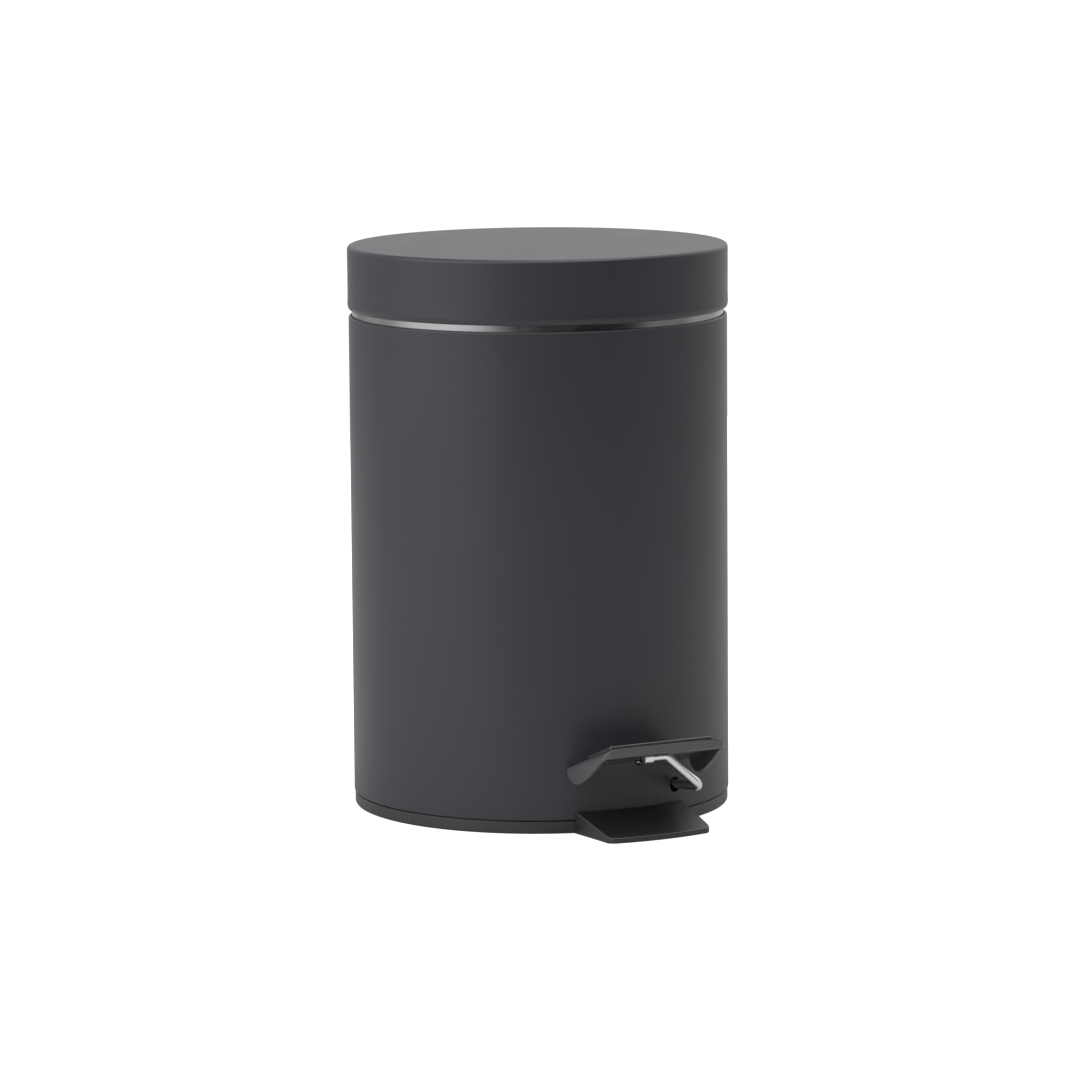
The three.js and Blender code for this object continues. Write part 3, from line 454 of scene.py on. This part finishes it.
def rod(name, radius, start, end, sides=32, chamfer=0.3):
    """A straight round bar with chamfered ends."""
    start, end = Vector(start), Vector(end)
    along = (end - start).normalized()
    stations = [
        (start, along, radius - chamfer),
        (start + along * chamfer, along, radius),
        (end - along * chamfer, along, radius),
        (end, along, radius - chamfer),
    ]
    return sweep(name, stations, sides)


def sweep(name, stations, sides=24):
    """A closed tube through stations of (point, direction, radius)."""
    bm = bmesh.new()
    across = stations[0][1].orthogonal().normalized()
    rings = []
    for point, direction, radius in stations:
        across = (across - direction * across.dot(direction)).normalized()
        up = direction.cross(across)
        ring = []
        for i in range(sides):
            angle = 2 * math.pi * i / sides
            spot = point + radius * (math.cos(angle) * across + math.sin(angle) * up)
            ring.append(bm.verts.new(spot * MM))
        rings.append(ring)
    for low, high in zip(rings, rings[1:]):
        for i in range(sides):
            j = (i + 1) % sides
            bm.faces.new((low[i], low[j], high[j], high[i]))
    bm.faces.new(rings[0])
    bm.faces.new(rings[-1])
    return make_object(name, bm)


def bent_stations(corners, bend, radius, chamfer=0.4, steps=10):
    """Stations along a wire with straight runs and circular bends, and chamfered ends."""
    corners = [Vector(c) for c in corners]
    runs = [(b - a).normalized() for a, b in zip(corners, corners[1:])]
    stations = [(corners[0], runs[0], radius - chamfer), (corners[0] + runs[0] * chamfer, runs[0], radius)]
    for corner, before, after in zip(corners[1:-1], runs, runs[1:]):
        turn = before.angle(after)
        axis = before.cross(after).normalized()
        start = corner - before * bend * math.tan(turn / 2)
        centre = start + axis.cross(before) * bend
        for step in range(steps + 1):
            rotation = Matrix.Rotation(turn * step / steps, 3, axis)
            stations.append((centre + rotation @ (start - centre), rotation @ before, radius))
    stations.append((corners[-1] - runs[-1] * chamfer, runs[-1], radius))
    stations.append((corners[-1], runs[-1], radius - chamfer))
    return stations


def keep_evaluated(obj):
    """Turns the object's modifiers into its mesh."""
    graph = bpy.context.evaluated_depsgraph_get()
    mesh = bpy.data.meshes.new_from_object(obj.evaluated_get(graph))
    obj.modifiers.clear()
    obj.data = mesh
    mesh.name = obj.name
    return obj


def carve(obj, tool, operation="DIFFERENCE"):
    """Cuts, joins or trims obj with a tool, which is used up."""
    modifier = obj.modifiers.new("carve", "BOOLEAN")
    modifier.operation = operation
    modifier.solver = "EXACT"
    modifier.object = tool
    keep_evaluated(obj)
    bpy.data.objects.remove(tool)
    return obj


def soften(obj, width_mm, segments=2, angle=32, clamp=True):
    """Rounds the edges that are sharper than the angle."""
    bevel = obj.modifiers.new("soften", "BEVEL")
    bevel.use_clamp_overlap = clamp
    bevel.width = width_mm * MM
    bevel.segments = segments
    bevel.limit_method = "ANGLE"
    bevel.angle_limit = math.radians(angle)
    bevel.miter_outer = "MITER_ARC"
    keep_evaluated(obj)
    return obj


def join(obj, *others):
    """Puts the meshes of the others into obj."""
    bm = bmesh.new()
    for part in (obj, *others):
        bm.from_mesh(part.data)
    bm.to_mesh(obj.data)
    bm.free()
    for part in others:
        bpy.data.objects.remove(part)
    return obj


def shade(obj, sharp=40):
    """Smooth shading, with creases only at the sharp edges."""
    mesh = obj.data
    mesh.polygons.foreach_set("use_smooth", [True] * len(mesh.polygons))
    mesh.set_sharp_from_angle(angle=math.radians(sharp))


def settle(obj, body, nodes, slot_name, sharp=40, weighted=True, material=None):
    """Finishes a piece: shading, material, the body that it rides on and the nodes that it stands for."""
    shade(obj, sharp)
    if weighted:
        modifier = obj.modifiers.new("even_normals", "WEIGHTED_NORMAL")
        modifier.keep_sharp = True
        modifier.weight = 50
        keep_evaluated(obj)
    obj.data.materials.clear()
    obj.data.materials.append(material or MATERIALS[slot_name])
    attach(obj, body)
    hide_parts(*nodes)
    return obj


def copy_of(node, name):
    """A piece with a CAD node's shape, its flat areas joined into single faces."""
    bm = bmesh.new()
    bm.from_mesh(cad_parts[node].data)
    bmesh.ops.remove_doubles(bm, verts=bm.verts, dist=1e-6)
    bmesh.ops.dissolve_limit(
        bm, angle_limit=math.radians(0.8), verts=bm.verts, edges=bm.edges, use_dissolve_boundaries=False
    )
    return make_object(name, bm)


def refined(node, body, slot_name, bevel_mm, segments=2, sharp=40):
    """A CAD node's shape with its edges rounded."""
    piece = copy_of(node, node + "_fine")
    soften(piece, bevel_mm, segments)
    return settle(piece, body, [node], slot_name, sharp)


# ---------------------------------------------------------------- casing


def make_body():
    inner = BODY_RADIUS - BODY_WALL
    outline = rounded([
        (inner, BODY_BOTTOM, 0.15),
        (BODY_RADIUS, BODY_BOTTOM, 0.3),
        (BODY_RADIUS, BODY_TOP, 1),
        (BODY_RADIUS - 1.25, BODY_TOP, 0.2),
        (BODY_RADIUS - 1.25, BODY_TOP - BODY_WALL, 0.2),
        (inner, BODY_TOP - 1.3),
    ])
    body = lathe("body_tube", outline, 256)
    half = SLOT_HALF_WIDTH
    low, high = SLOT_BOTTOM + half, SLOT_TOP - half
    hole = [*arc(SLOT_X, low, half, half, 180, 360, 20), *arc(SLOT_X, high, half, half, 0, 180, 20)]
    carve(body, slab("slot_tool", hole, "Y", -BODY_RADIUS - 5, -BODY_RADIUS + 12))
    settle(body, "casing", ["outer_body"], "charcoal_paint", 30)


def make_neck():
    outline = rounded([
        (81.4, 209, 0.3), (83.5, 209, 0.3), (83.5, 215.5, 0.4), (83, 216, 0.4), (83, 225, 0.7),
        (81.4, 225, 0.5),
    ])
    neck = lathe("neck_band", outline, 256)
    ring_steel = polished_steel("ring_steel", (0.50, 0.505, 0.51), 0.16)
    settle(neck, "casing", ["neck_ring"], "bright_steel", material=ring_steel)


def lip_front():
    """The lip's outer outline in plan, from the left corner round the front to the right corner."""
    corner = 4
    reach = LIP_RADIUS - corner
    corner_x = LIP_HALF_TIP - corner
    corner_y = -math.sqrt(reach ** 2 - corner_x ** 2)
    angle = math.degrees(math.atan2(corner_y, corner_x))
    return [
        *arc(-corner_x, corner_y, corner, corner, 180, -180 - angle + 360, 8),
        *arc(0, 0, LIP_RADIUS, LIP_RADIUS, -180 - angle, angle, 28)[1:-1],
        *arc(corner_x, corner_y, corner, corner, angle, 0, 8),
    ]


def make_lip():
    """The sloping lip under the pedal, a slice of a cone, with a step that passes under the body."""
    wall = BODY_RADIUS + 0.3
    drop = (LIP_ROOT - LIP_EDGE) / (LIP_RADIUS - wall)
    bm = bmesh.new()
    columns = []
    front = lip_front()
    for i, tip in enumerate(front):
        root = Vector((LIP_HALF_ROOT * (2 * i / (len(front) - 1) - 1), -60))
        along = (Vector(tip) - root).normalized()
        reach = -root.dot(along) + math.sqrt(root.dot(along) ** 2 - root.length_squared + wall ** 2)
        edge = root + along * reach
        inner = root + along * (reach - 6)
        column = [(inner, 0), (inner, 5.2), (edge, 5.2)]
        rows = 14
        for step in range(rows + 1):
            point = edge.lerp(Vector(tip), step / rows)
            column.append((point, LIP_ROOT - drop * (point.length - wall)))
        column.append((Vector(tip), 0))
        columns.append([bm.verts.new(Vector((p.x, p.y, z)) * MM) for p, z in column])
    for left, right in zip(columns, columns[1:]):
        for j in range(len(left)):
            k = (j + 1) % len(left)
            bm.faces.new((left[j], left[k], right[k], right[j]))
    bm.faces.new(columns[0])
    bm.faces.new(columns[-1])
    return soften(make_object("base_lip", bm), 0.6, 4, 40, clamp=False)


def make_base():
    dish = lathe("base_moulding", rounded([
        (0, 0), (12, 0, 0.6), (13, 2, 0.5), (73, 2, 0.6), (74, 0, 0.6), (BASE_RADIUS, 0, 1.0),
        (BASE_RADIUS, BASE_TOP, 0.25), (83.5, BASE_TOP), (83.4, 4.7), (82.7, 4.7), (82.7, 7.4),
        (83.5, 7.8), (83.5, 13, 0.4),
        (81.5, 13, 0.5), (81.5, 4.5, 0.7), (0, 4.5),
    ]), 256)
    carve(dish, make_lip(), "UNION")
    for side in (-1, 1):
        notch = arc(PIVOT_Y, PIVOT_Z, 2.35, 2.35, 0, -180, 12)
        outline = [(-58, 3.5), (-58, PIVOT_Z), *notch, (-78, PIVOT_Z), (-78, 3.5)]
        block = slab("saddle", outline, "X", side * 9.5 - 3.5, side * 9.5 + 3.5)
        carve(dish, soften(block, 0.3), "UNION")
    settle(dish, "casing", ["base_plate"], "charcoal_plastic")


def make_foot_pads():
    for i in range(4):
        node = f"foot_pad_{i + 1}"
        low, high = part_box(node)
        middle = (low + high) / 2 / MM
        outline = rounded([(0, 0), (8, 0, 0.6), (8, 1.7, 0.3), (0, 1.7)], 4)
        pad = lathe(node + "_fine", outline, 48, (middle.x, middle.y))
        settle(pad, "casing", [node], "black_rubber")


def make_screw(node, body, slot_name, head_radius, place, outward):
    """A pan-head screw with a cross recess. Its head's underside is at the place and faces inward."""
    dome = arc(0, 0, head_radius, 1.6, 0, 88, 8)
    length = 1.5
    screw = lathe(node + "_fine", [(0, -length), (1.3, -length), (1.3, 0), *dome, (0, 1.6)], 40)
    arm, width = head_radius * 0.52, 0.32
    for turn in (0, 1):
        x, y = (arm, width) if turn else (width, arm)
        outline = [(-x, -y), (x, -y), (x, y), (-x, y)]
        carve(screw, slab("recess_tool", outline, "Z", 0.75, 3))
    direction = Vector(outward)
    turn = direction.to_track_quat("Z", "Y").to_matrix().to_4x4()
    screw.data.transform(Matrix.Translation(Vector(place) * MM) @ turn)
    settle(screw, body, [node], slot_name, 35)


def make_bearings():
    for word, side in (("left", -1), ("right", 1)):
        refined(f"bearing_cap_{word}", "casing", "black_plastic", 0.5, 3)
        place = (side * 9.5, -62, 22.15)
        make_screw(f"bearing_screw_{word}", "casing", "zinc_steel", SCREW_HEAD, place, (0, 0, 1))


# ---------------------------------------------------------------- hinge


def make_hinge():
    refined("hinge_bracket", "casing", "charcoal_paint", 0.35)
    refined("rod_guide", "casing", "black_plastic", 0.4)
    for word, side in (("left", -1), ("right", 1)):
        place = (side * 12, 86.1, 194)
        make_screw(f"bracket_screw_{word}", "casing", "zinc_steel", SCREW_HEAD, place, (0, 1, 0))
    shank = rod("hinge_pin_fine", 1.5, (-12.2, HINGE_Y, HINGE_Z), (11.2, HINGE_Y, HINGE_Z))
    head = rod("pin_head", 2.5, (11.1, HINGE_Y, HINGE_Z), (12.3, HINGE_Y, HINGE_Z), 32, 0.4)
    settle(join(shank, head), "casing", ["hinge_pin"], "zinc_steel")


# ---------------------------------------------------------------- lid


def make_lid():
    inner = LID_RADIUS - 1
    outline = [
        (0, LID_TOP - 0.7),
        *rounded([(0, LID_TOP - 0.7), (inner, LID_TOP - 1, 1.2), (inner, LID_BOTTOM)], 6)[1:-1],
        (inner, LID_BOTTOM + 0.3),
        *arc(inner, LID_BOTTOM + 2.8, 1.05, 2.8, -90, 20, 10),
        (LID_RADIUS - 0.05, LID_BOTTOM + 5.6),
        (LID_RADIUS - 0.08, LID_BOTTOM + 8),
        *rounded([(0, LID_TOP), (LID_RADIUS, LID_TOP, 1.9), (LID_RADIUS, LID_BOTTOM)], 8)[-2:0:-1],
        (LID_RADIUS * 0.6, LID_TOP + 0.2),
        (0, LID_TOP + 0.3),
    ]
    lid = lathe("lid_cover", outline, 256)
    notch = [(-7.2, LID_BOTTOM - 2), (7.2, LID_BOTTOM - 2), (7.2, 229.6), (-7.2, 229.6)]
    carve(lid, slab("notch_tool", notch, "Y", 60, 100))
    settle(lid, "lid", ["lid_shell"], "charcoal_paint", 30)
    refined("lid_liner", "lid", "black_plastic", 0.35)
    refined("lid_arm", "lid", "zinc_steel", 0.3)
    for word, side in (("left", -1), ("right", 1)):
        place = (side * 9, 66, 239.5)
        make_screw(f"lid_screw_{word}", "lid", "zinc_steel", SCREW_HEAD, place, (0, 0, -1))


# ---------------------------------------------------------------- pedal


def plate_top(y):
    return PEDAL_BACK_TOP + PLATE_SLOPE * (y - PEDAL_BACK_Y)


def pedal_side():
    """Side view of the cover, in (y, z): the sloping top, the front face and the wings' lower edge."""
    wing = smooth_line([
        (-112.6, 38.0), (-108.5, 35.4), (-103, 30.9), (-95.5, 25.9), (-92, 24.3), (-88.8, 23.5),
        (-85.8, 24.0), (-83, 25.6), (-81.5, 28), (PEDAL_BACK_Y, PEDAL_BACK_TOP - 0.6),
    ])
    return [(PEDAL_FRONT_Y, PEDAL_FRONT_TOP), (PEDAL_FRONT_Y, 38.6), *wing, (PEDAL_BACK_Y, PEDAL_BACK_TOP)]


def pedal_plan(inset):
    front = PEDAL_FRONT_Y + inset
    half_front, half_back = PEDAL_HALF_FRONT - inset, PEDAL_HALF_BACK - inset
    corner = PEDAL_CORNER - inset * 0.8
    return [
        *arc(-half_front + corner, front + corner, corner, corner, 180, 270, 6),
        *arc(half_front - corner, front + corner, corner, corner, 270, 360, 6),
        (half_back, -60),
        (-half_back, -60),
    ]


def shoulder_bar(side):
    """One rounded side edge of the plate, along the cover's tapering side. Its other side is far out."""
    half, width, depth = PEDAL_HALF_FRONT, SHOULDER_WIDTH, SHOULDER_DEPTH
    outline = [(-60, -60), (half + 2, -60), (half + 2, -depth)]
    outline += arc(half - width, -depth, width, depth, 0, 90, 8)
    outline = [(side * a, b) for a, b in [*outline, (-60, 0)]]
    bar = slab("shoulder_tool", outline, "Y", -30, 60)
    taper = math.atan((PEDAL_HALF_BACK - PEDAL_HALF_FRONT) / (-60 - PEDAL_FRONT_Y))
    bar.data.transform(Matrix.Rotation(-side * taper, 4, "Z"))
    return bar


def pedal_roof():
    """The plate's top with its rounded side edges, which the cover is trimmed to."""
    roof = carve(shoulder_bar(-1), shoulder_bar(1), "INTERSECT")
    tilt = Matrix.Rotation(math.atan(PLATE_SLOPE), 4, "X")
    roof.data.transform(Matrix.Translation(Vector((0, PEDAL_FRONT_Y, PEDAL_FRONT_TOP)) * MM) @ tilt)
    return roof


def make_pedal_cover():
    drop = PEDAL_WALL / math.cos(math.atan(PLATE_SLOPE))
    under = [
        (-60, 0), (-60, plate_top(-60) - drop),
        (PEDAL_FRONT_Y, PEDAL_FRONT_TOP - drop), (PEDAL_FRONT_Y, 0),
    ]
    cover = slab("pedal_shell", pedal_side(), "X", -40, 40)
    carve(cover, slab("plan_tool", pedal_plan(0), "Z", 0, 60), "INTERSECT")
    carve(cover, pedal_roof(), "INTERSECT")
    hollow = slab("hollow_tool", under, "X", -40, 40)
    carve(hollow, slab("inner_tool", pedal_plan(PEDAL_WALL), "Z", -5, 60), "INTERSECT")
    carve(cover, hollow)
    boss = slab("boss", [(-101, 33.8), (-95, 33.8), (-95, plate_top(-95) - 1), (-101, plate_top(-101) - 1)],
                "X", -7.0, -2.0)
    carve(cover, boss, "UNION")
    carve(cover, lathe("wall_tool", [(0, 0), (BODY_RADIUS + 1, 0), (BODY_RADIUS + 1, 60), (0, 60)]))
    left, right = (-6.5, WIRE_FRONT_Y, WIRE_FRONT_Z), (8.1, WIRE_FRONT_Y, WIRE_FRONT_Z)
    carve(cover, rod("groove_tool", WIRE_RADIUS + 0.3, left, right, 32, 0))
    soften(cover, 0.5, 4, 36, clamp=False)
    # The pedal's charcoal plastic is made lighter than the base's copy of it, to stand for the light falling
    # on its wings: painted light.
    pedal_plastic_painted_light = charcoal_plastic("pedal_plastic_painted_light", (0.078, 0.081, 0.085), 1.0)
    settle(cover, "pedal", ["pedal_cover"], "charcoal_plastic", 35, material=pedal_plastic_painted_light)


def make_tread():
    """The grooved pad, made level with its front edge on the X axis and then laid on the plate."""
    half, depth, thick = TREAD_HALF_WIDTH, TREAD_DEPTH, TREAD_THICKNESS
    pad = slab("tread_pad", [(0, 0), (depth, 0), (depth, thick), (0, thick)], "X", -half, half)
    soften(pad, 0.7, 5)
    for i in range(1, TREAD_BARS):
        middle = depth * i / TREAD_BARS
        sides = (middle - 0.5, 4), (middle - 0.5, thick - 0.7, 0.25), (middle + 0.5, thick - 0.7, 0.25)
        groove = slab("groove_tool", rounded([*sides, (middle + 0.5, 4)]), "X", -half + 1.5, half - 1.5)
        carve(pad, groove)
    tilt = Matrix.Rotation(math.atan(PLATE_SLOPE), 4, "X")
    place = Vector((0, TREAD_FRONT, plate_top(TREAD_FRONT) + 0.1))
    pad.data.transform(Matrix.Translation(place * MM) @ tilt)
    settle(pad, "pedal", ["pedal_tread"], "tread_rubber", 30)


def make_pedal_rod():
    corners = [
        (-6.2, WIRE_FRONT_Y, WIRE_FRONT_Z), (5.1, WIRE_FRONT_Y, WIRE_FRONT_Z),
        (WIRE_SIDE_X, WIRE_FRONT_Y, 20.1), (WIRE_SIDE_X, PIVOT_Y, PIVOT_Z),
        (-WIRE_SIDE_X, PIVOT_Y, PIVOT_Z), (-12, PUSH_ROD_Y, WIRE_REAR_Z), (8, PUSH_ROD_Y, WIRE_REAR_Z),
    ]
    wire = sweep("pedal_wire", bent_stations(corners, WIRE_BEND, WIRE_RADIUS), 32)
    settle(wire, "pedal", ["pedal_rod"], "bright_steel", 40, False)


def make_clip():
    refined("rod_clip", "pedal", "bright_steel", 0.15)
    make_screw("clip_screw", "pedal", "blacked_steel", 2.3, (-4.5, -98, 32.8), (0, 0, -1))


# ---------------------------------------------------------------- push rod and bucket


def make_pusher():
    wire = rod("push_wire", 1.6, (0, PUSH_ROD_Y, 14.4), (0, PUSH_ROD_Y, 206))
    settle(wire, "pusher", ["push_rod"], "zinc_steel")
    refined("rod_yoke", "pusher", "black_plastic", 0.5, 3)
    refined("rod_tip", "pusher", "black_plastic", 0.5, 3)


def bail_arc(start, end, steps, radius):
    stations = []
    for step in range(steps + 1):
        angle = math.radians(start + (end - start) * step / steps)
        point = Vector((BAIL_RADIUS * math.cos(angle), BAIL_CENTRE_Y + BAIL_RADIUS * math.sin(angle), BAIL_Z))
        stations.append((point, Vector((-math.sin(angle), math.cos(angle), 0)), radius))
    return stations


def make_bail():
    wire, bend, end_x = 1.4, 2.5, 80.4
    corners = [(-end_x, 0, BAIL_Z), (-BAIL_RADIUS, 0, BAIL_Z), (-BAIL_RADIUS, -2 * bend, BAIL_Z)]
    left = bent_stations(corners, bend, wire, 0.3, 8)[:-2]
    right = []
    for point, direction, radius in reversed(left):
        right.append((Vector((-point.x, point.y, point.z)), Vector((direction.x, -direction.y, 0)), radius))
    bail = sweep("bail_wire", [*left, *bail_arc(180, 360, 90, wire)[1:-1], *right], 20)
    settle(bail, "bail", ["bail_handle"], "zinc_steel", 40, False)
    sleeve = bail_arc(270 - 16, 270 + 16, 40, 2.5)
    ends = {0: 2.1, 1: 2.4, 39: 2.4, 40: 2.1}
    sleeve = [(p, d, ends.get(i, 2.5 - (0.18 if i % 4 == 0 else 0))) for i, (p, d, r) in enumerate(sleeve)]
    settle(sweep("grip_sleeve", sleeve, 24), "bail", ["bail_grip"], "black_plastic", 50, False)


def make_bucket():
    refined("inner_bucket", "bucket", "grey_plastic", 0.35)


# ---------------------------------------------------------------- the scene

bpy.context.scene.view_settings.view_transform = "Standard"
make_camera()
make_world()
make_floor()

MATERIALS = {
    "charcoal_paint": charcoal_paint(),
    # The base is charcoal plastic, and its colour is pulled darker than the pedal's copy so the lip's top
    # stays dark where the pedal shades it: painted shade.
    "charcoal_plastic": charcoal_plastic("charcoal_plastic", (0.017, 0.018, 0.019), 1.0),
    "black_plastic": black_plastic(),
    "grey_plastic": grey_plastic(),
    "black_rubber": black_rubber(),
    "tread_rubber": tread_rubber(),
    # The wire's and clip's polished steel is made near white, brighter than the ring's steel, to stand for
    # the light they catch: painted light.
    "bright_steel": polished_steel("bright_steel", (0.97, 0.975, 0.98), 0.28),
    "zinc_steel": zinc_steel(),
    "blacked_steel": blacked_steel(),
}

make_body()
make_neck()
make_base()
make_foot_pads()
make_bearings()
make_hinge()
make_lid()
make_pedal_cover()
make_tread()
make_pedal_rod()
make_clip()
make_pusher()
make_bail()
make_bucket()
